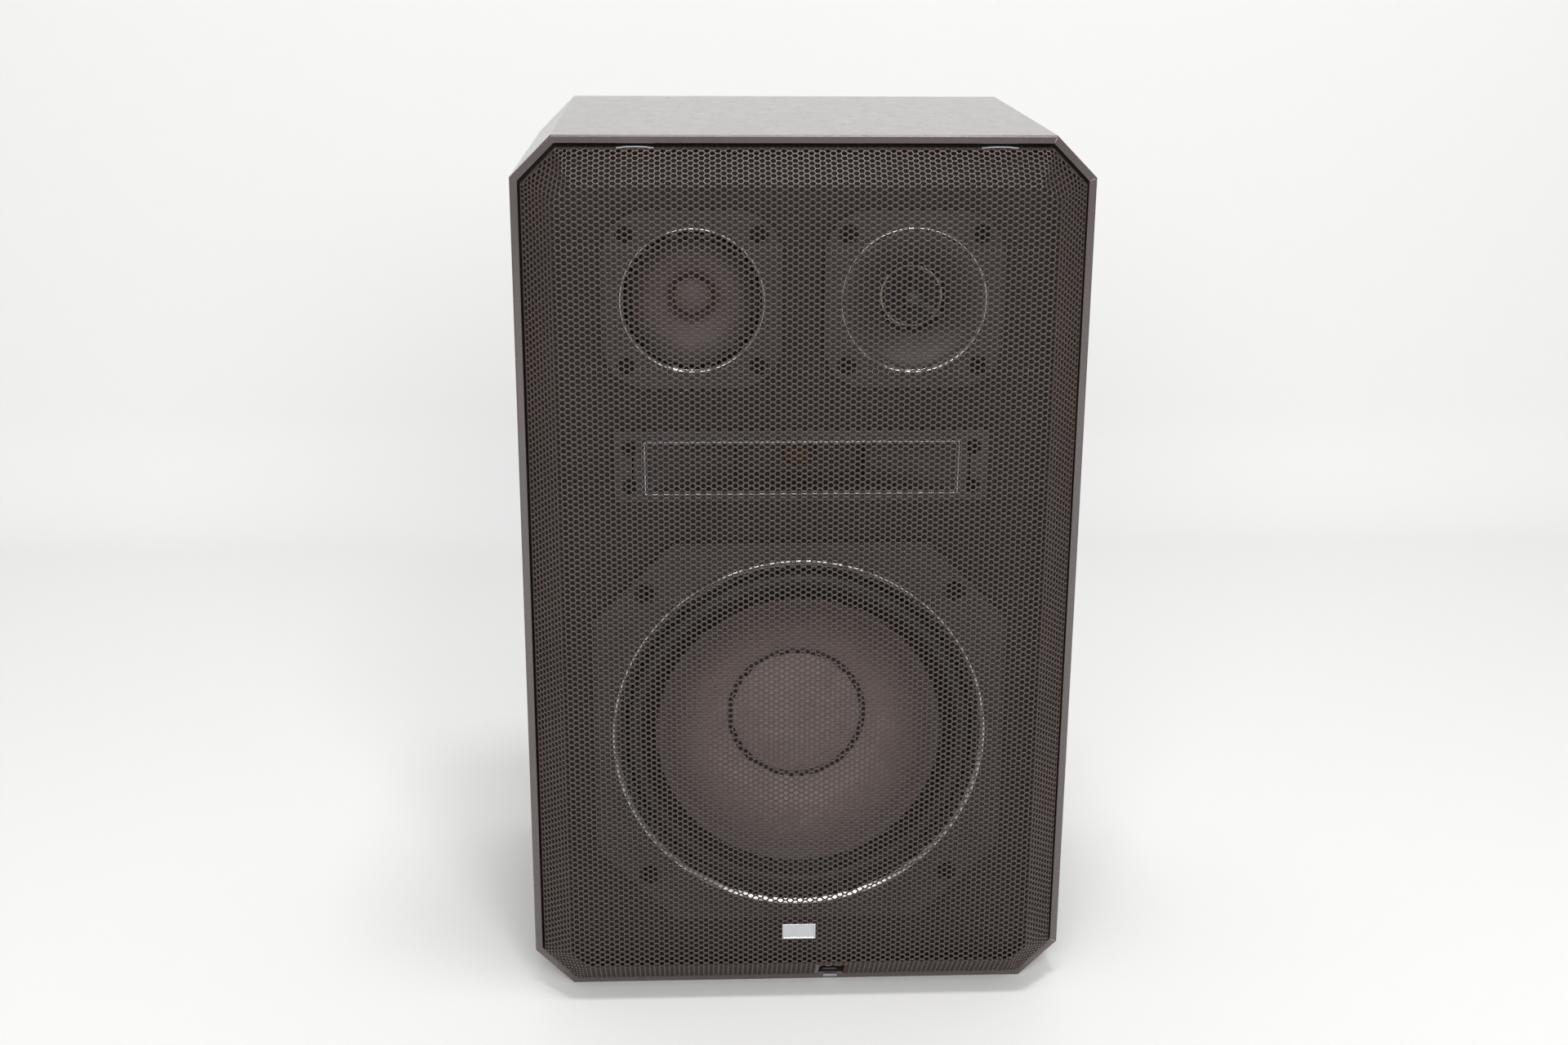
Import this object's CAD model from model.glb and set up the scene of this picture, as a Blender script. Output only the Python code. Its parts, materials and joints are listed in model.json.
"""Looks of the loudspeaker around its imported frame. Lengths are millimetres until a mesh is made.

Depths written s are measured backwards from the front rim of the cabinet.
"""
import json
import math

import bmesh
import bpy
import numpy as np
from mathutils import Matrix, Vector, noise


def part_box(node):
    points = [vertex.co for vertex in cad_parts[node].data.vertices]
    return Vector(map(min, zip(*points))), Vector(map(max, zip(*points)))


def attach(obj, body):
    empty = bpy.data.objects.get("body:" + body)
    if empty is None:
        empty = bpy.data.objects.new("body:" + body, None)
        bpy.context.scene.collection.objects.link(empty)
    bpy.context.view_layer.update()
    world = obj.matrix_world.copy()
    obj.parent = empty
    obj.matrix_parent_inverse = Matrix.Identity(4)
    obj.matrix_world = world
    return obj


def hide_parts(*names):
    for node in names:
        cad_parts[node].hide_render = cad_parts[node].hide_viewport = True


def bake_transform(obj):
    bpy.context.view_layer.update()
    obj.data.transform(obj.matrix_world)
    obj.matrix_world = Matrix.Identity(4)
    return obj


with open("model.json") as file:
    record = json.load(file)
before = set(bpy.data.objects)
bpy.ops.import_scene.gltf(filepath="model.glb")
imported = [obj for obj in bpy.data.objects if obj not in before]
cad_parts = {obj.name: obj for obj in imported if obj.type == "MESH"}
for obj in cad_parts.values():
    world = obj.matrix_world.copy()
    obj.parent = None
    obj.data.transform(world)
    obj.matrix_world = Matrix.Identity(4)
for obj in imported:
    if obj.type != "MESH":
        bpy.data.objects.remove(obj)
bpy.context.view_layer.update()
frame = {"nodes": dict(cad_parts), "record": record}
NODES = frame["nodes"]
MM = 0.001
CABINET, GRILLE = "cabinet", "grille"
WOOFER, MID, CATCH = "woofer_moving_parts", "mid_moving_parts", "grille_catch"


# ---------- places, from the frame ----------

def box_mm(node):
    """Lowest and highest corner of a CAD node in millimetres."""
    low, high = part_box(node)
    return low / MM, high / MM


FRONT_Y = box_mm("left_panel")[0].y          # the front rim
CAB_W = 2 * box_mm("right_panel")[1].x
CAB_H = box_mm("top_panel")[1].z
CORNER = box_mm("left_panel")[0].z           # corner cut, along each side


def axis_of(node):
    """(x, z) of a turned node's axis."""
    low, high = box_mm(node)
    return (low.x + high.x) / 2, (low.z + high.z) / 2


def depth_range(node):
    """Front and rear depth s of a CAD node."""
    low, high = box_mm(node)
    return low.y - FRONT_Y, high.y - FRONT_Y


def radius_of(node):
    low, high = box_mm(node)
    return (high.x - low.x) / 2


def octagon(inset):
    """Corners of the cabinet's outline moved inwards, anticlockwise from the lower left."""
    half, low, high = CAB_W / 2 - inset, inset, CAB_H - inset
    c = CORNER - inset * (1 - math.tan(math.radians(22.5)))
    return np.array([
        [-half + c, low], [half - c, low], [half, low + c], [half, high - c],
        [half - c, high], [-half + c, high], [-half, high - c], [-half, low + c]])


# ---------- camera ----------

CAMERA_PLACE = (-0.0540, -1.0397, 0.5521)    # metres
CAMERA_TURN = (72.662, -0.374, -2.635)       # degrees
LENS, SENSOR = 44.93, 36                     # millimetres


def make_camera():
    data = bpy.data.cameras.new("camera")
    data.lens = LENS
    data.sensor_width = SENSOR
    data.clip_start = 0.05
    data.clip_end = 30
    camera = bpy.data.objects.new("camera", data)
    camera.location = CAMERA_PLACE
    camera.rotation_euler = [math.radians(a) for a in CAMERA_TURN]
    bpy.context.scene.collection.objects.link(camera)
    bpy.context.scene.camera = camera


# ---------- materials ----------

class Nodes:
    """A material's node tree, with short calls for the nodes that the recipes use."""

    def __init__(self, name):
        self.material = bpy.data.materials.new(name)
        self.material.use_nodes = True
        self.tree = self.material.node_tree
        self.shader = self.tree.nodes["Principled BSDF"]
        self.place = self.tree.nodes.new("ShaderNodeTexCoord").outputs["Object"]

    def node(self, kind, links=(), **values):
        made = self.tree.nodes.new(kind)
        for key, value in values.items():
            setattr(made, key, value)
        for socket, source in links:
            if hasattr(source, "is_linked"):
                self.tree.links.new(source, made.inputs[socket])
            else:
                made.inputs[socket].default_value = source
        return made

    def stretched(self, scale):
        """Object coordinates scaled along each axis, for grain that runs one way."""
        links = [("Vector", self.place), ("Scale", scale)]
        return self.node("ShaderNodeMapping", links).outputs["Vector"]

    def noise(self, size_mm, detail=4, rough=0.55, place=None):
        """Noise whose features are about size_mm across."""
        links = [("Vector", place or self.place), ("Scale", 1 / (size_mm * MM)),
                 ("Detail", detail), ("Roughness", rough)]
        return self.node("ShaderNodeTexNoise", links).outputs["Fac"]

    def cells(self, size_mm):
        """Rounded cells about size_mm across."""
        links = [("Vector", self.place), ("Scale", 1 / (size_mm * MM))]
        return self.node("ShaderNodeTexVoronoi", links).outputs["Distance"]

    def waves(self, size_mm, direction):
        """Even ridges size_mm apart, one after another along an axis."""
        links = [("Vector", self.place), ("Scale", 0.16 / (size_mm * MM))]
        made = self.node("ShaderNodeTexWave", links, wave_type="BANDS", bands_direction=direction)
        return made.outputs["Fac"]

    def vector(self, operation, a, b=None):
        links = [(0, a)] if b is None else [(0, a), (1, b)]
        return self.node("ShaderNodeVectorMath", links, operation=operation).outputs

    def spread(self, source, low, high, to_low, to_high):
        links = [("Value", source), ("From Min", low), ("From Max", high),
                 ("To Min", to_low), ("To Max", to_high)]
        return self.node("ShaderNodeMapRange", links).outputs["Result"]

    def mix(self, factor, a, b):
        made = self.node("ShaderNodeMix", data_type="RGBA")
        self.tree.links.new(factor, made.inputs["Factor"])
        for socket, value in ((made.inputs[6], a), (made.inputs[7], b)):
            if hasattr(value, "is_linked"):
                self.tree.links.new(value, socket)
            else:
                socket.default_value = (*value, 1)
        return made.outputs[2]

    def bump(self, height, strength, depth_mm, under=None):
        links = [("Height", height), ("Strength", strength), ("Distance", depth_mm * MM)]
        if under is not None:
            links.append(("Normal", under))
        return self.node("ShaderNodeBump", links).outputs["Normal"]

    def finish(self, colour, roughness, normal=None, **plain):
        """Sets the shader's sockets; each of plain is a number for the socket of that name."""
        given = {"Base Color": colour, "Roughness": roughness, "Normal": normal}
        for socket, value in given.items():
            if value is None:
                continue
            if hasattr(value, "is_linked"):
                self.tree.links.new(value, self.shader.inputs[socket])
            elif socket == "Base Color":
                self.shader.inputs[socket].default_value = (*value, 1)
            else:
                self.shader.inputs[socket].default_value = value
        for socket, value in plain.items():
            self.shader.inputs[socket.replace("_", " ")].default_value = value
        return self.material


def shade(colour, factor):
    return tuple(min(1.0, c * factor) for c in colour)


def grained(name, colour, roughness, grain_mm, depth_mm, strength=0.5, vary=0.2):
    """Moulded or painted surface: fine grain, slow changes of tone, uneven gloss."""
    n = Nodes(name)
    grain = n.noise(grain_mm, 3)
    slow = n.noise(45, 3)
    tone = n.mix(n.spread(slow, 0.3, 0.7, 0, 1), shade(colour, 1 - vary), shade(colour, 1 + vary))
    rough = n.spread(n.noise(18, 5), 0.3, 0.7, roughness * 0.88, roughness * 1.12)
    return n.finish(tone, rough, n.bump(grain, strength, depth_mm))


def foil(name):
    """Dark brown furniture foil, embossed with a fine pebble grain."""
    n = Nodes(name)
    pebble = n.cells(0.75)
    fine = n.noise(0.35, 4)
    slow = n.noise(60, 4)
    speck = n.spread(n.noise(0.9, 2), 0.62, 0.72, 0, 1)
    tone = n.mix(n.spread(slow, 0.3, 0.7, 0, 1), (0.068, 0.051, 0.050), (0.084, 0.064, 0.061))
    tone = n.mix(speck, tone, (0.11, 0.09, 0.088))
    rough = n.spread(n.noise(9, 5), 0.3, 0.7, 0.22, 0.29)
    embossed = n.bump(fine, 0.12, 0.05, n.bump(pebble, 0.15, 0.10))
    return n.finish(tone, rough, embossed,
                    IOR=1.6, Coat_Weight=0.5, Coat_Roughness=0.12, Coat_IOR=1.6)


def wood_board(name, colour, roughness=0.6):
    """Stained board with faint grain along its height."""
    n = Nodes(name)
    grain = n.noise(4, 6, 0.6, n.stretched((1, 1, 0.06)))
    fibre = n.noise(0.6, 5, 0.6, n.stretched((1, 1, 0.12)))
    tone = n.mix(n.spread(grain, 0.35, 0.65, 0, 1), shade(colour, 0.75), shade(colour, 1.25))
    return n.finish(tone, roughness, n.bump(fibre, 0.35, 0.12))


def metal(name, colour, roughness, streak_mm):
    """Bare or plated metal with faint streaks in its gloss."""
    n = Nodes(name)
    streak = n.noise(streak_mm, 4)
    rough = n.spread(streak, 0.3, 0.7, roughness * 0.7, roughness * 1.3)
    tone = n.mix(n.noise(12, 4), shade(colour, 0.9), shade(colour, 1.05))
    return n.finish(tone, rough, n.bump(streak, 0.08, 0.02), Metallic=1.0)


def paper(name, colour, dark, axis=None, rings=(), upper=0.0):
    """Pressed pulp: fibres, blotches and a coat that lifts the gloss in places.

    Each ring (start, stop) round the axis (x, z) turns dark from the first radius in millimetres to the
    second. The upper half, where no dust settles, is darker by up to the share upper.
    """
    n = Nodes(name)
    blotch = n.noise(14, 5, 0.6)
    fibre = n.noise(0.7, 6, 0.7)
    tone = n.mix(n.spread(blotch, 0.35, 0.68, 0, 1), dark, colour)
    tone = n.mix(n.spread(fibre, 0.55, 0.75, 0, 0.35), tone, shade(colour, 1.5))
    if axis:
        away = n.vector("SUBTRACT", n.place, (axis[0] * MM, 0, axis[1] * MM))[0]
        flat = n.vector("MULTIPLY", away, (1, 0, 1))[0]
        radius = n.vector("LENGTH", flat)["Value"]
        height = n.node("ShaderNodeSeparateXYZ", [(0, flat)]).outputs["Z"]
        reach = max(max(r) for r in rings) * MM
        tone = n.mix(n.spread(height, -0.6 * reach, 0.7 * reach, 0, upper), tone, shade(dark, 0.35))
        for start, stop in rings:
            tone = n.mix(n.spread(radius, start * MM, stop * MM, 0, 0.9), tone, shade(dark, 0.25))
    rough = n.spread(blotch, 0.3, 0.7, 0.62, 0.48)
    return n.finish(tone, rough, n.bump(fibre, 0.5, 0.15))


def cloth(name, colour, thread_mm, sheen=0.3):
    """Woven cloth: two crossed sets of threads."""
    n = Nodes(name)
    threads = [(k, n.waves(thread_mm, direction)) for k, direction in enumerate("XZ")]
    height = n.node("ShaderNodeMath", threads, operation="MAXIMUM").outputs["Value"]
    tone = n.mix(n.spread(height, 0.2, 1, 0, 1), shade(colour, 0.55), shade(colour, 1.15))
    return n.finish(tone, 0.85, n.bump(height, 0.6, 0.15), Sheen_Weight=sheen)


def fleece_stuff(name):
    """Loose polyester fibre in tufts."""
    n = Nodes(name)
    tuft = n.noise(7, 7, 0.7)
    strand = n.noise(0.8, 6, 0.75, n.stretched((1, 1, 0.25)))
    tone = n.mix(n.spread(tuft, 0.3, 0.7, 0, 1), (0.62, 0.58, 0.48), (0.86, 0.84, 0.76))
    return n.finish(tone, 0.95, n.bump(strand, 0.8, 0.8, n.bump(tuft, 0.8, 3.0)), Sheen_Weight=0.5)


def windings(name):
    """Enamelled copper wire, wound round an axis that runs along the depth."""
    n = Nodes(name)
    turns = n.waves(0.45, "Y")
    tone = n.mix(n.spread(turns, 0, 1, 0, 1), (0.20, 0.06, 0.02), (0.62, 0.27, 0.11))
    return n.finish(tone, 0.34, n.bump(turns, 0.7, 0.2), Metallic=0.85)


MATERIALS = {
    "shell_foil": foil("shell_foil"),
    "baffle_board": grained("baffle_board", (0.016, 0.011, 0.010), 0.55, 0.6, 0.10, vary=0.15),
    "rear_board": wood_board("rear_board", (0.060, 0.040, 0.029), 0.55),
    "fleece": fleece_stuff("fleece"),
    "grille_paint": grained("grille_paint", (0.058, 0.040, 0.034), 0.19, 0.5, 0.02, 0.3, 0.08),
    "badge_metal": metal("badge_metal", (0.62, 0.63, 0.65), 0.34, 0.3),
    "spring_steel": metal("spring_steel", (0.52, 0.52, 0.56), 0.36, 0.4),
    "bracket_paint": grained("bracket_paint", (0.03, 0.028, 0.027), 0.5, 0.5, 0.04),
    "basket_paint": grained("basket_paint", (0.052, 0.042, 0.042), 0.36, 0.7, 0.05),
    "bright_trim": metal("bright_trim", (0.86, 0.85, 0.82), 0.20, 1.5),
    "black_felt": cloth("black_felt", (0.018, 0.018, 0.018), 0.3, 0.6),
    "surround_rubber": grained("surround_rubber", (0.013, 0.012, 0.012), 0.42, 0.3, 0.03, 0.4),
    "cone_paper": paper("cone_paper", (0.53, 0.41, 0.40), (0.41, 0.315, 0.30),
                        axis_of("woofer_cone"), [(46, 67)], 0.45),
    "mid_paper": paper("mid_paper", (0.165, 0.126, 0.122), (0.125, 0.098, 0.094),
                       axis_of("mid_cone"), [(21, 27), (13.5, 10.5)], 0.2),
    "cap_paper": paper("cap_paper", (0.43, 0.345, 0.34), (0.35, 0.27, 0.265)),
    "mid_cap": paper("mid_cap", (0.21, 0.166, 0.162), (0.16, 0.124, 0.12)),
    "copper_wire": windings("copper_wire"),
    "spider_cloth": cloth("spider_cloth", (0.36, 0.21, 0.06), 0.35),
    "zinc_steel": metal("zinc_steel", (0.62, 0.58, 0.46), 0.36, 0.8),
    "ferrite": grained("ferrite", (0.045, 0.045, 0.048), 0.55, 0.4, 0.08),
    "black_screw": metal("black_screw", (0.022, 0.021, 0.022), 0.45, 0.3),
    "small_frame": grained("small_frame", (0.053, 0.043, 0.044), 0.36, 0.6, 0.06),
    "dome_cloth": cloth("dome_cloth", (0.020, 0.018, 0.018), 0.2, 0.4),
    "plug_plastic": grained("plug_plastic", (0.075, 0.068, 0.068), 0.28, 0.5, 0.02),
    "horn_plastic": grained("horn_plastic", (0.064, 0.054, 0.056), 0.36, 0.7, 0.05),
    "driver_can": grained("driver_can", (0.05, 0.05, 0.052), 0.32, 0.6, 0.03),
    "phenolic": cloth("phenolic", (0.26, 0.13, 0.07), 0.25),
    "cup_plastic": grained("cup_plastic", (0.018, 0.018, 0.018), 0.45, 0.45, 0.09, 0.7),
    "lever_red": grained("lever_red", (0.50, 0.018, 0.012), 0.25, 0.6, 0.02),
    "lever_black": grained("lever_black", (0.014, 0.014, 0.014), 0.25, 0.6, 0.02),
    "hardboard": wood_board("hardboard", (0.22, 0.12, 0.055), 0.5),
    "spacer_nylon": grained("spacer_nylon", (0.78, 0.75, 0.66), 0.4, 0.5, 0.03),
    "capacitor_film": grained("capacitor_film", (0.03, 0.10, 0.28), 0.3, 0.8, 0.03),
    "resistor_cement": grained("resistor_cement", (0.74, 0.73, 0.68), 0.8, 0.5, 0.12, 0.7),
    "raw_edge": grained("raw_edge", (0.42, 0.33, 0.27), 0.7, 0.3, 0.05),
    "dull_trim": metal("dull_trim", (0.42, 0.43, 0.47), 0.24, 0.8),
    "wire_pvc": grained("wire_pvc", (0.26, 0.022, 0.018), 0.35, 0.6, 0.02),
}


def finish_of(piece, slot):
    """Gives a piece the finish of one of the record's material slots."""
    piece.data.materials.clear()
    piece.data.materials.append(MATERIALS[slot])
    return piece


def dress_cad_nodes():
    for part in frame["record"]["subparts"]:
        finish_of(NODES[part["node"]], part["material_slot"])
    for node, recipe in (("mid_cone", "mid_paper"), ("mid_dust_cap", "mid_cap")):
        NODES[node].data.materials[0] = MATERIALS[recipe]


# ---------- meshes ----------

def in_metres(x, s, z):
    """Points at millimetres (x, depth s, z) as rows of metres in the row frame."""
    return np.stack(np.broadcast_arrays(x, s + FRONT_Y, z), axis=-1) * MM


def mesh_piece(name, slot, points, faces, smooth=True):
    mesh = bpy.data.meshes.new(name)
    mesh.from_pydata([tuple(p) for p in np.asarray(points, float)], [], faces)
    mesh.validate()
    mesh.shade_smooth() if smooth else mesh.shade_flat()
    piece = bpy.data.objects.new(name, mesh)
    bpy.context.scene.collection.objects.link(piece)
    return finish_of(piece, slot)


def lofted(name, slot, sections, ring=False, crease=None):
    """A solid through equal sections, each a loop of points in metres.

    A ring joins its last section to its first. Edges sharper than crease degrees stay sharp, and flat
    faces keep flat shading.
    """
    total, count = len(sections), len(sections[0])
    faces = []
    for i in range(total if ring else total - 1):
        a, b = i * count, (i + 1) % total * count
        faces += [(a + k, b + k, b + (k + 1) % count, a + (k + 1) % count) for k in range(count)]
    if not ring:
        faces += [tuple(range(count)), tuple(range((total - 1) * count, total * count))]
    piece = mesh_piece(name, slot, np.concatenate(sections), faces)
    form = bmesh.new()
    form.from_mesh(piece.data)
    bmesh.ops.recalc_face_normals(form, faces=form.faces)
    form.to_mesh(piece.data)
    form.free()
    if crease:
        piece.data.set_sharp_from_angle(angle=math.radians(crease))
        even = piece.modifiers.new("shading", "WEIGHTED_NORMAL")
        even.keep_sharp = True
    return piece


def turned(name, slot, profile, axis, steps=192):
    """A closed ring: the outline (radius, s) turned about a driver's axis (x, z)."""
    radius, depth = np.array(profile, float).T
    sections = []
    for a in np.linspace(0, 2 * math.pi, steps, endpoint=False):
        x, z = axis[0] + radius * math.cos(a), axis[1] + radius * math.sin(a)
        sections.append(in_metres(x, depth, z))
    return lofted(name, slot, sections, ring=True)


def arc(middle, r, start, stop, steps=6):
    """Points of an arc, angles in degrees."""
    turn = np.radians(np.linspace(start, stop, steps + 1))
    return [(middle[0] + r * math.cos(a), middle[1] + r * math.sin(a)) for a in turn]


def soften(piece, width_mm):
    """Rounds the sharp edges of a CAD node, whose faces are welded first, as they share no points."""
    weld = piece.modifiers.new("weld", "WELD")
    weld.merge_threshold = 0.002 * MM
    bevel = piece.modifiers.new("edges", "BEVEL")
    bevel.width = width_mm * MM
    bevel.segments = 2
    bevel.limit_method = "ANGLE"
    bevel.angle_limit = math.radians(20)
    even = piece.modifiers.new("shading", "WEIGHTED_NORMAL")
    even.weight = 100


EDGE_ROUNDING = {
    0.30: ("rear_panel", "baffle"),
    0.50: ("woofer_basket", "mid_frame", "tweeter_faceplate", "horn_body", "terminal_cup",
           "lever_red", "lever_black", "horn_driver", "crossover_resistors"),
    0.60: ("woofer_top_plate", "woofer_magnet", "woofer_yoke", "woofer_gasket",
           "mid_top_plate", "mid_magnet", "mid_yoke",
           "tweeter_top_plate", "tweeter_magnet", "tweeter_yoke",
           "crossover_coils", "crossover_capacitors"),
    0.15: ("grille_badge", "catch_bracket", "woofer_screws", "flange_screws", "terminal_screws",
           "crossover_board", "crossover_spacers", "tweeter_phase_plug"),
}


def round_cad_edges():
    for width, names in EDGE_ROUNDING.items():
        for name in names:
            soften(NODES[name], width)


# ---------- cabinet shell ----------

BOARDS = ("bottom_panel", "corner_bottom_right", "right_panel", "corner_top_right",
          "top_panel", "corner_top_left", "left_panel", "corner_bottom_left")
WORN_MITRES = (2, 3, 4)                      # corners of the outline whose joints show light
SHELL_FOLD = 0.9                             # radius of the outer folds


def shell_boards():
    """The wrapped boards, with rounded outer folds that run on from board to board."""
    lip, lip_depth = box_mm("baffle")[0].z, depth_range("baffle")[1]
    rear_lip, rear_in = box_mm("rear_panel")[0].z, depth_range("rear_panel")[0]
    thick = CAB_H - box_mm("top_panel")[0].z
    rear = depth_range("top_panel")[1]
    fold, edge = SHELL_FOLD, 0.35
    section = arc((fold, fold), fold, 180, 270)
    section += arc((lip - edge, edge), edge, 270, 360, 3)
    section += [(lip, lip_depth), (thick, lip_depth), (thick, rear_in), (rear_lip, rear_in)]
    section += arc((rear_lip - edge, rear - edge), edge, 0, 90, 3)
    section += arc((fold, rear - fold), fold, 90, 180)
    for k, node in enumerate(BOARDS):
        ends = []
        for corner in (k, (k + 1) % 8):
            x, z = np.array([octagon(i)[corner] for i, s in section]).T
            ends.append(in_metres(x, np.array([s for i, s in section]), z))
        board = lofted(node + "_foil", "shell_foil", ends, crease=32)
        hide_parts(node)
        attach(board, CABINET)
    for corner in WORN_MITRES:
        worn_mitre(corner, lip)


def worn_mitre(corner, lip):
    """Light line where the foil has worn off a joint of the rim."""
    outer, inner = octagon(0.4 * SHELL_FOLD)[corner], octagon(lip - 0.3)[corner]
    along = (inner - outer) / np.linalg.norm(inner - outer)
    aside = 0.22 * np.array([-along[1], along[0]])
    sections = []
    for share, wide, proud in ((0, 0.5, -0.25), (0.25, 1, 0.03), (0.6, 0.8, 0.03), (1, 0.4, 0.02)):
        place = outer + (inner - outer) * share
        a, b = place - aside * wide, place + aside * wide
        x, z = np.array([a, b, b, a]).T
        sections.append(in_metres(x, np.array([-proud, -proud, 0.4, 0.4]), z))
    strip = lofted(f"worn_mitre_{corner}", "shell_foil", sections)
    strip.data.materials[0] = MATERIALS["raw_edge"]
    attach(strip, CABINET)


# ---------- drivers ----------

def trim_ring(node, width):
    """Bright ring whose broad face looks inwards, so that its lower half catches the light."""
    s0, s1 = depth_range(node)
    outer = radius_of(node)
    inner, rise = outer - width, s1 - s0
    outline = [(inner, s1), (inner, s1 - 0.12 * rise), (inner + 0.1 * width, s1 - 0.3 * rise),
               (inner + 0.62 * width, s0 + 0.1 * rise), (inner + 0.72 * width, s0),
               (inner + 0.86 * width, s0 + 0.03 * rise), (outer - 0.02 * width, s0 + 0.25 * rise),
               (outer, s0 + 0.5 * rise), (outer, s1)]
    piece = turned(node + "_polished", "bright_trim", outline, axis_of(node), 256)
    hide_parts(node)
    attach(piece, CABINET)


def half_roll(outer, inner, flap_s, flap_t, middle, r, skin):
    """Outline of a suspension: a half roll between two flat flaps that face forwards at flap_s."""
    back = flap_s + flap_t
    turn = np.linspace(0, math.pi, 41)
    front = [(middle + r * math.cos(a), back - r * math.sin(a))
             for a in turn if r * math.sin(a) > flap_t]
    inside = r - skin
    rear = [(middle - inside * math.cos(a), back - inside * math.sin(a)) for a in turn[1:-1]]
    return [(outer, back), (outer, flap_s)] + front + [(inner, flap_s), (inner, back)] + rear


def bend_between(piece, node):
    """A suspension stands still at its outer radius and moves with the cone at its inner one."""
    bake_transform(piece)
    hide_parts(node)


def woofer_suspension():
    axis = axis_of("woofer_surround")
    s1 = depth_range("woofer_surround")[1]
    outline = half_roll(94.1, 74.5, s1 - 1, 1, 85, 6, 0.8)
    roll = turned("woofer_half_roll", "surround_rubber", outline, axis, 256)
    bend_between(roll, "woofer_surround")

    low, high = depth_range("woofer_spider")
    middle, swing, skin = (low + high) / 2, 1.2, 0.6
    radii = np.linspace(radius_of("woofer_voice_coil") - 0.5, 57.5, 120)
    wave = np.clip((radii - 23) / 26.5, 0, 1) * 6 * 2 * math.pi
    face = middle - skin / 2 + swing * np.sin(wave)
    outline = list(zip(radii, face)) + list(zip(radii[::-1], face[::-1] + skin))
    spider = turned("woofer_spider_cloth", "spider_cloth", outline, axis, 160)
    bend_between(spider, "woofer_spider")


def mid_suspension():
    s0, s1 = depth_range("mid_surround")
    outline = half_roll(33.9, 29.7, s1 - 0.6, 0.5, 31.7, 1.5, 0.5)
    roll = turned("mid_half_roll", "surround_rubber", outline, axis_of("mid_surround"), 192)
    bend_between(roll, "mid_surround")


def glue_bead(name, cap, body, r, thick):
    """Bead of dark glue where a dust cap meets its cone."""
    s1 = depth_range(cap)[1]
    turn = np.linspace(0, 2 * math.pi, 12, endpoint=False)
    middle = s1 - 0.25 * thick
    outline = [(r + thick * math.cos(a), middle + 0.7 * thick * math.sin(a)) for a in turn]
    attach(turned(name, "surround_rubber", outline, axis_of(cap)), body)


def horn_frame():
    """Thin bright bead round the horn's mouth, mitred at its corners."""
    low, high = box_mm("horn_trim_frame")
    s0, s1 = depth_range("horn_trim_frame")
    middle, half = (low + high) / 2, (high - low) / 2
    inset, r = 0.6, 0.45
    bead = arc((inset, s1 - 0.5), r, 180, 360, 8) + [(inset + r, s1), (inset - r, s1)]
    sections = []
    a, s = np.array(bead).T
    for i, j in ((-1, -1), (1, -1), (1, 1), (-1, 1)):
        sections.append(in_metres(middle.x + i * (half.x - a), s, middle.z + j * (half.z - a)))
    frame_piece = lofted("horn_bead", "bright_trim", sections, ring=True, crease=50)
    frame_piece.data.materials[0] = MATERIALS["dull_trim"]
    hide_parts("horn_trim_frame")
    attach(frame_piece, CABINET)


# ---------- grille fittings ----------

def bent_strip(name, slot, path, thick, place, body, node):
    """A strip of sheet: a path of (a, b) points made thick, then placed by place(a, b, end)."""
    path = np.array(path, float)
    ahead = np.gradient(path, axis=0)
    aside = np.stack([-ahead[:, 1], ahead[:, 0]], axis=1) / np.linalg.norm(ahead, axis=1)[:, None]
    outline = np.concatenate([path + aside * thick / 2, (path - aside * thick / 2)[::-1]])
    sections = [place(outline[:, 0], outline[:, 1], end) for end in (0, 1)]
    strip = lofted(name, slot, sections, crease=40)
    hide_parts(node)
    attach(strip, body)


def grille_springs():
    """Two bowed springs on the grille's top edge."""
    low, high = box_mm("grille_clips")
    s0, s1 = depth_range("grille_clips")
    length, thick = 17.6, 0.45
    for side, start in (("left", low.x), ("right", high.x - length)):
        rise = [(0, 0), (1.5, 0.02), (3, 0.25), (4.5, 0.38), (length / 2, 0.45),
                (length - 4.5, 0.38), (length - 3, 0.25), (length - 1.5, 0.02), (length, 0)]
        path = [(start + a, low.z + thick / 2 + b) for a, b in rise]
        bent_strip(f"grille_spring_{side}", "spring_steel", path, thick,
                   lambda a, b, end: in_metres(a, s0 + end * (s1 - s0), b), GRILLE, "grille_clips")


def catch_spring():
    """The catch's leaf, blackened behind the notch, and its bright tip, turned up in front."""
    low, high = box_mm("catch_leaf")
    s0, s1 = depth_range("catch_leaf")
    top, foot = high.z - 0.85, low.z + 1.5
    leaf = [(s1 - 0.1, top), (s1 - 1.2, top), (s1 - 2.2, top - 0.2), (s1 - 2.9, foot + 0.6),
            (s1 - 3.4, foot + 0.2), (s1 - 4.0, foot), (-0.6, foot)]
    tip = [(-0.2, foot), (s0 + 0.9, foot), (s0 + 0.5, foot + 0.15), (s0 + 0.3, foot + 0.6),
           (s0 + 0.25, foot + 1.8)]
    for name, slot, path, thick in (("catch_spring", "bracket_paint", leaf, 0.5),
                                    ("catch_tip", "spring_steel", tip, 0.56)):
        bent_strip(name, slot, path, thick,
                   lambda a, b, end: in_metres(low.x + end * (high.x - low.x), a, b),
                   CATCH, "catch_leaf")


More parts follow.
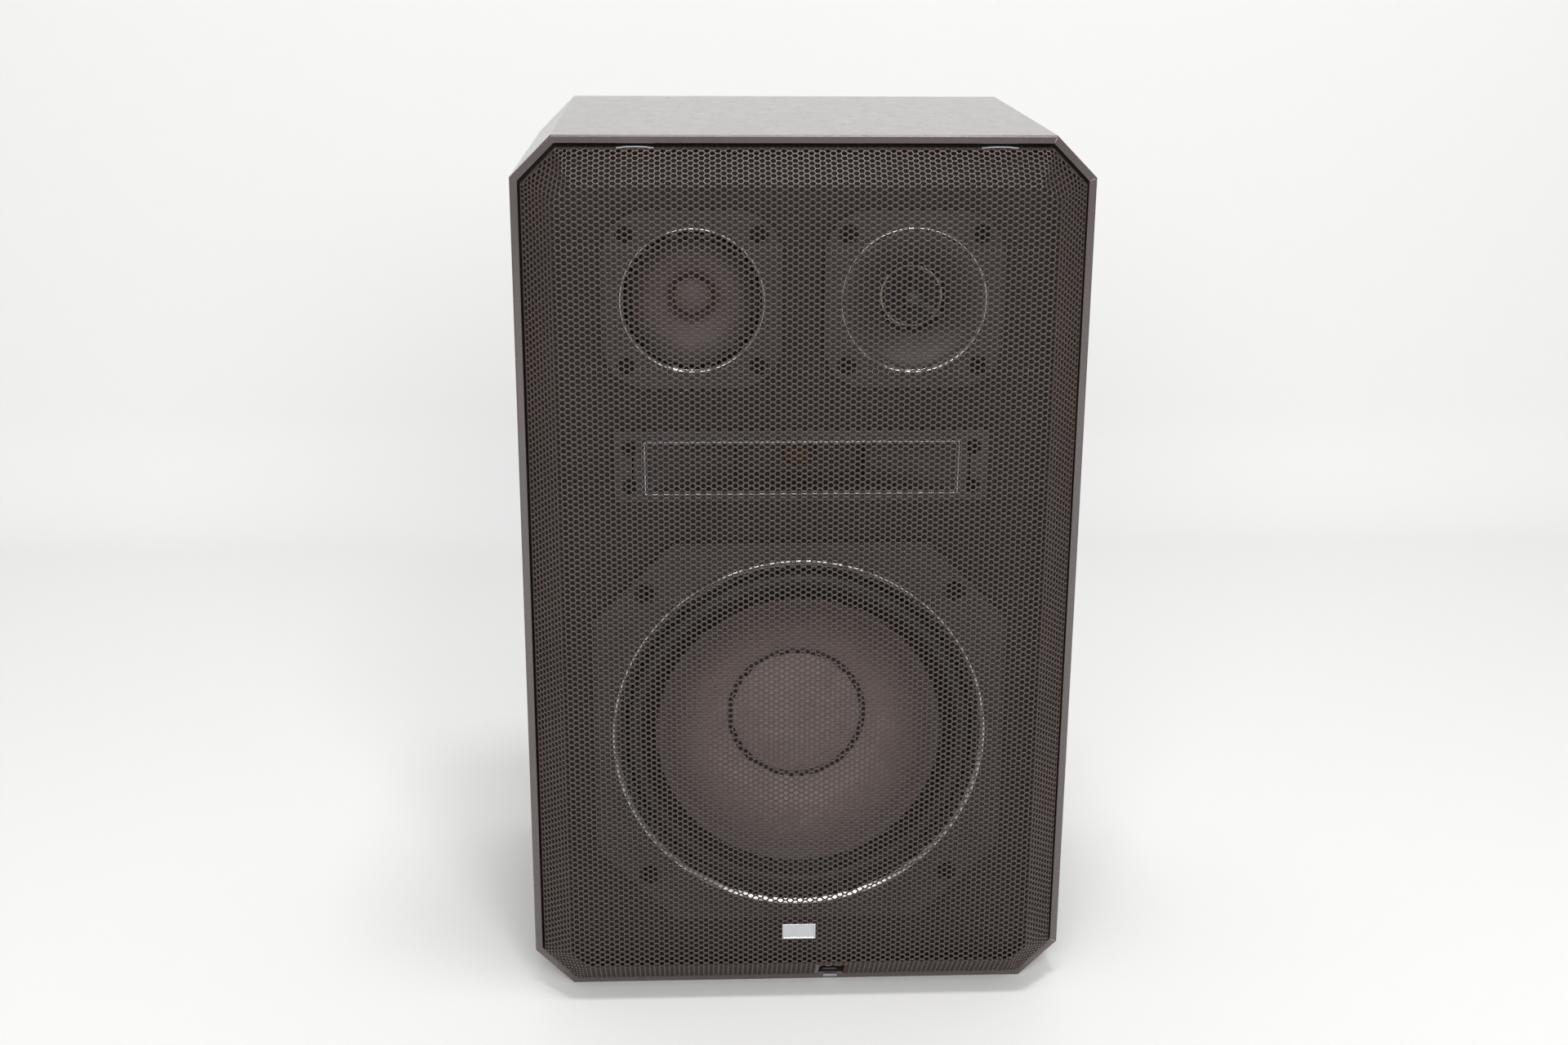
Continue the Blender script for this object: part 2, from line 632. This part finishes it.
def fleece():
    """Loose polyester fleece in the closed box, in the space of its CAD block."""
    low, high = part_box("wadding")
    form = bmesh.new()
    bmesh.ops.create_cube(form, size=1)
    bmesh.ops.scale(form, vec=high - low, verts=form.verts)
    bmesh.ops.translate(form, vec=(low + high) / 2, verts=form.verts)
    bmesh.ops.subdivide_edges(form, edges=form.edges, cuts=24, use_grid_fill=True)
    middle, half = (low + high) / 2, (high - low) / 2
    for v in form.verts:
        across = [(v.co[i] - middle[i]) / half[i] for i in range(3)]
        edge = sorted(abs(a) for a in across)[1]
        pull = 0.004 + 0.016 * max(0.0, edge - 0.8) / 0.2
        lump = 0.004 * (1 + noise.noise(v.co * 22)) + 0.0015 * (1 + noise.noise(v.co * 90))
        for i in range(3):
            if abs(across[i]) > 0.999:
                v.co[i] -= math.copysign(pull * 0.5 + lump, across[i])
    mesh = bpy.data.meshes.new("wadding_fleece")
    form.to_mesh(mesh)
    form.free()
    mesh.shade_smooth()
    piece = bpy.data.objects.new("wadding_fleece", mesh)
    bpy.context.scene.collection.objects.link(piece)
    finish_of(piece, "fleece")
    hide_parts("wadding")
    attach(piece, CABINET)


# ---------- perforated grille ----------

PITCH = 3.0                                  # between holes that touch the same web
COLUMN = PITCH * math.sqrt(3) / 2            # between columns of holes
HOLE_R = 1.21
SHEET_T = 1.0
SLOPE_W = 15.3                               # sloping border, in the front view
FOLD_R = 2.2                                 # of the fold round the field
EDGE_R = 1.3                                 # of the fold at the outer edge
MARGIN = 0.35                                # least metal between a hole and a cut edge
NOTCH_W, NOTCH_H = 13.4, 11.5                # release notch, in the front view
BANDS = 8                                    # the sheet is made as this many strips


class Tray:
    """The pressed grille: where each point of the flat sheet goes, and which way it faces."""

    def __init__(self):
        low, high = box_mm("grille")
        self.inset = low.x + CAB_W / 2
        self.drop = self.inset - low.z           # the tray sits this far below its opening's middle
        self.field_s = low.y - FRONT_Y
        self.back_s = high.y - FRONT_Y
        edge_s = self.field_s + 15.8
        self.slope = math.hypot(SLOPE_W, edge_s - self.field_s)
        self.tilt = math.atan2(edge_s - self.field_s, SLOPE_W)
        self.end = self.slope + self.back_s - edge_s
        self.corners = octagon(self.inset + SLOPE_W) - [0, self.drop]
        ahead = np.roll(self.corners, -1, axis=0)
        self.length = np.linalg.norm(ahead - self.corners, axis=1)
        self.along = (ahead - self.corners) / self.length[:, None]
        self.out = np.stack([self.along[:, 1], -self.along[:, 0]], axis=1)
        # the sheet's path outwards from the field's edge, with both folds rounded
        self.t = np.linspace(-6, self.end + 2, 2400)
        first = FOLD_R * self.tilt / 2
        second = EDGE_R * (math.pi / 2 - self.tilt) / 2
        marks = [-first, first, self.slope - second, self.slope + second]
        self.angle = np.interp(self.t, marks, [0, self.tilt, self.tilt, math.pi / 2])
        step = self.t[1] - self.t[0]
        self.reach = self.t[0] + np.concatenate([[0], np.cumsum(np.cos(self.angle[:-1]) * step)])
        self.depth = self.field_s + np.concatenate([[0], np.cumsum(np.sin(self.angle[:-1]) * step)])

    def facet(self, flat):
        """For flat points: facet number, distance past the field's edge, and place along it."""
        offset = flat[:, None, :] - self.corners[None]
        past = np.einsum("pkc,kc->pk", offset, self.out)
        k = past.argmax(axis=1)
        rows = np.arange(len(flat))
        return k, past[rows, k], np.einsum("pc,pc->p", offset[rows, k], self.along[k])

    def pressed(self, flat, below=0.0):
        """Points of the flat sheet as they lie in the pressed tray, at a depth below its skin."""
        k, t, w = self.facet(flat)
        reach = np.interp(t, self.t, self.reach)
        depth = np.interp(t, self.t, self.depth)
        angle = np.interp(t, self.t, self.angle)
        inside = t < self.t[0]
        reach[inside] = t[inside]
        gather = np.where(t > 0.5, reach / np.maximum(t, 0.5), 1)
        over = np.maximum(w - self.length[k], 0) + np.minimum(w, 0)
        w = np.clip(w, 0, self.length[k]) + over * gather
        lift = reach - below * np.sin(angle)
        place = self.corners[k] + self.along[k] * w[:, None] + self.out[k] * lift[:, None]
        place[inside] = flat[inside]
        return in_metres(place[:, 0], depth + below * np.cos(angle), place[:, 1])


def cut_edges(tray, flat):
    """Moves points that lie past the sheet's rear edge or inside the release notch to the cut,
    and says how far inside the metal each point was (negative where it was past the cut)."""
    k, t, _ = tray.facet(flat)
    metal = tray.end - t
    flat = flat - tray.out[k] * np.maximum(-metal, 0)[:, None]
    bracket_low, bracket_high = box_mm("catch_bracket")
    middle = (bracket_low.x + bracket_high.x) / 2
    half = NOTCH_W / 2
    start = tray.slope * (1 - NOTCH_H / SLOPE_W)
    sideways = np.abs(flat[:, 0] - middle) - half
    upwards = np.where(k == 0, start - t, 99.0)
    inside = np.minimum(-sideways, -upwards)      # positive inside the notch
    metal = np.minimum(metal, -inside)
    by_side = (inside > 0) & (-sideways <= -upwards)
    by_top = (inside > 0) & ~by_side
    flat[by_side, 0] = middle + np.sign(flat[by_side, 0] - middle) * half
    flat[by_top] -= tray.out[0] * (t - start)[by_top, None]
    return flat, metal


def grille_sheet():
    """The perforated sheet: hexagonal cells round each hole, pressed over the tray's folds."""
    tray = Tray()
    reach = tray.end + 2
    columns = int((tray.corners[:, 0].max() + reach) / COLUMN) + 1
    rows = int((np.ptp(tray.corners[:, 1]) / 2 + reach) / PITCH) + 1
    i, j = np.meshgrid(np.arange(-columns, columns + 1), np.arange(-rows, rows + 1), indexing="ij")
    middle = CAB_H / 2
    centres = np.stack([i * COLUMN, middle + (j + (i % 2) / 2) * PITCH], axis=-1).reshape(-1, 2)
    ids = np.stack([i, 2 * j + i % 2], axis=-1).reshape(-1, 2)
    _, metal = cut_edges(tray, centres)
    keep = metal > 0
    centres, ids = centres[keep], ids[keep]

    # corners of the cells have whole-number addresses, so that neighbours share them
    ring = np.arange(6) * math.pi / 3
    corner = centres[:, None] + PITCH / math.sqrt(3) * np.stack([np.cos(ring), np.sin(ring)], -1)
    address = np.stack([3 * ids[:, :1] + np.array([2, 1, -1, -2, -1, 1]),
                        ids[:, 1:] + np.array([0, 1, 1, 0, -1, -1])], axis=-1)
    turn = np.arange(12) * math.pi / 6
    hole = centres[:, None] + HOLE_R * np.stack([np.cos(turn), np.sin(turn)], -1)
    _, metal = cut_edges(tray, hole.reshape(-1, 2))
    pierced = metal.reshape(-1, 12).min(axis=1) > MARGIN

    order = np.argsort(centres[:, 1], kind="stable")
    for band, members in enumerate(np.array_split(order, BANDS)):
        grille_band(tray, f"grille_sheet_{band + 1}", corner[members], address[members],
                    hole[members], pierced[members])


def grille_band(tray, name, corner, address, hole, pierced):
    """One strip of the sheet as a closed mesh."""
    flat_address = address.reshape(-1, 2)
    key = flat_address[:, 0].astype(np.int64) * 100000 + flat_address[:, 1]
    _, first, index = np.unique(key, return_index=True, return_inverse=True)
    index = index.reshape(-1, 6)
    shared, _ = cut_edges(tray, corner.reshape(-1, 2)[first].copy())
    rims = hole[pierced].reshape(-1, 2)
    flat = np.concatenate([shared, rims])
    count = len(flat)
    points = np.concatenate([tray.pressed(flat), tray.pressed(flat, SHEET_T)])
    rim = len(shared) + np.arange(len(rims)).reshape(-1, 12)
    cell = index[pierced]
    solid = index[~pierced]

    triangles = []
    for c in range(6):
        here, ahead = cell[:, c], cell[:, (c + 1) % 6]
        before, at, after = rim[:, 2 * c - 1], rim[:, 2 * c], rim[:, (2 * c + 1) % 12]
        triangles += [(here, at, before), (here, after, at), (here, ahead, after)]
    front = np.concatenate([np.stack(t, axis=1) for t in triangles])
    front = np.concatenate([front] + [solid[:, [0, c, c + 1]] for c in range(1, 5)])
    back = front[:, ::-1] + count
    ahead = np.roll(rim, -1, axis=1)
    wall = np.stack([rim, ahead, ahead + count, rim + count], axis=-1)
    wall = wall.transpose(1, 0, 2).reshape(-1, 4)

    # the strip's own outline: cell edges that no second cell uses
    start = index.ravel()
    stop = np.roll(index, -1, axis=1).ravel()
    there = start.astype(np.int64) * count + stop
    lone = ~np.isin(there, stop.astype(np.int64) * count + start) & (start != stop)
    a, b = start[lone], stop[lone]
    side = np.stack([a, a + count, b + count, b], axis=1)

    faces = [front, back, wall, side]
    loops = np.concatenate([f.ravel() for f in faces])
    sizes = np.concatenate([np.full(len(f), f.shape[1]) for f in faces])
    starts = np.concatenate([[0], np.cumsum(sizes)[:-1]])
    mesh = bpy.data.meshes.new(name)
    mesh.vertices.add(len(points))
    mesh.vertices.foreach_set("co", points.ravel().astype(np.float32))
    mesh.loops.add(len(loops))
    mesh.loops.foreach_set("vertex_index", loops.astype(np.int32))
    mesh.polygons.add(len(sizes))
    mesh.polygons.foreach_set("loop_start", starts.astype(np.int32))
    smooth = np.arange(len(sizes)) < len(front) + len(back)
    mesh.polygons.foreach_set("use_smooth", smooth)
    mesh.update(calc_edges=True)
    mesh.validate()
    piece = bpy.data.objects.new(name, mesh)
    bpy.context.scene.collection.objects.link(piece)
    finish_of(piece, "grille_paint")
    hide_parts("grille")
    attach(piece, GRILLE)


# ---------- stage and light ----------

def make_stage():
    """Pale floor that curves up into a wall, which is clear when it is seen from behind."""
    wall_y, bend, height, half = 0.76, 0.10, 3.2, 4.0
    front_y, back_y = -4.0, 5.0
    line = [(front_y, 0.0)]
    for k in range(13):
        a = math.radians(90 * k / 12)
        line.append((wall_y - bend + bend * math.sin(a), bend - bend * math.cos(a)))
    line.append((wall_y, height))
    points = [(x, y, z) for x in (-half, half) for y, z in line]
    count = len(line)
    faces = [(k, count + k, count + k + 1, k + 1) for k in range(count - 1)]
    points += [(x, y, 0.0) for y in (wall_y - bend, back_y) for x in (-half, half)]
    faces.append((2 * count, 2 * count + 1, 2 * count + 3, 2 * count + 2))
    mesh = bpy.data.meshes.new("backdrop")
    mesh.from_pydata(points, [], faces)
    mesh.shade_smooth()
    backdrop = bpy.data.objects.new("backdrop", mesh)
    bpy.context.scene.collection.objects.link(backdrop)
    n = Nodes("backdrop")
    n.finish((0.88, 0.88, 0.875), 0.6, None)
    n.shader.inputs["Specular IOR Level"].default_value = 0.2
    clear = n.node("ShaderNodeBsdfTransparent").outputs[0]
    behind = n.node("ShaderNodeNewGeometry").outputs["Backfacing"]
    sides = n.node("ShaderNodeMixShader", [(0, behind), (1, n.shader.outputs[0]), (2, clear)])
    n.tree.links.new(sides.outputs[0], n.tree.nodes["Material Output"].inputs["Surface"])
    mesh.materials.append(n.material)


def area_light(name, place, target, size, power, colour):
    """A soft light at a place in metres, of a size in metres and a power in watts."""
    data = bpy.data.lights.new(name, "AREA")
    data.shape = "RECTANGLE"
    data.size, data.size_y = size
    data.energy = power
    data.color = colour
    light = bpy.data.objects.new(name, data)
    light.location = place
    light.rotation_euler = (Vector(target) - Vector(place)).to_track_quat("-Z", "Y").to_euler()
    light.visible_camera = False
    bpy.context.scene.collection.objects.link(light)


def make_light():
    world = bpy.data.worlds.new("room")
    world.use_nodes = True
    background = world.node_tree.nodes["Background"]
    background.inputs["Color"].default_value = (0.96, 0.98, 1.0, 1)
    background.inputs["Strength"].default_value = 0.40
    bpy.context.scene.world = world
    for light in (
            ("ceiling", (0.08, -0.32, 2.0), (0.05, -0.15, 0.4), (0.50, 0.30), 12, (1, 0.98, 0.97)),
            ("front", (0.0, -2.1, 1.3), (0, 0, 0.15), (1.8, 0.9), 33, (1, 0.99, 0.97)),
            ("lamp", (0.40, -1.52, 1.80), (0, -0.1, 0.3), (0.30, 0.16), 4, (0.92, 0.96, 1.0))):
        area_light(*light)
    bpy.context.scene.view_settings.view_transform = "Standard"


# ---------- build ----------

make_camera()
dress_cad_nodes()
round_cad_edges()
shell_boards()
grille_sheet()
grille_springs()
catch_spring()
horn_frame()
trim_ring("woofer_trim_ring", 3.2)
trim_ring("mid_trim_ring", 1.6)
trim_ring("tweeter_trim_ring", 1.6)
woofer_suspension()
mid_suspension()
glue_bead("woofer_cap_glue", "woofer_dust_cap", WOOFER, 35.8, 1.9)
fleece()
make_stage()
make_light()
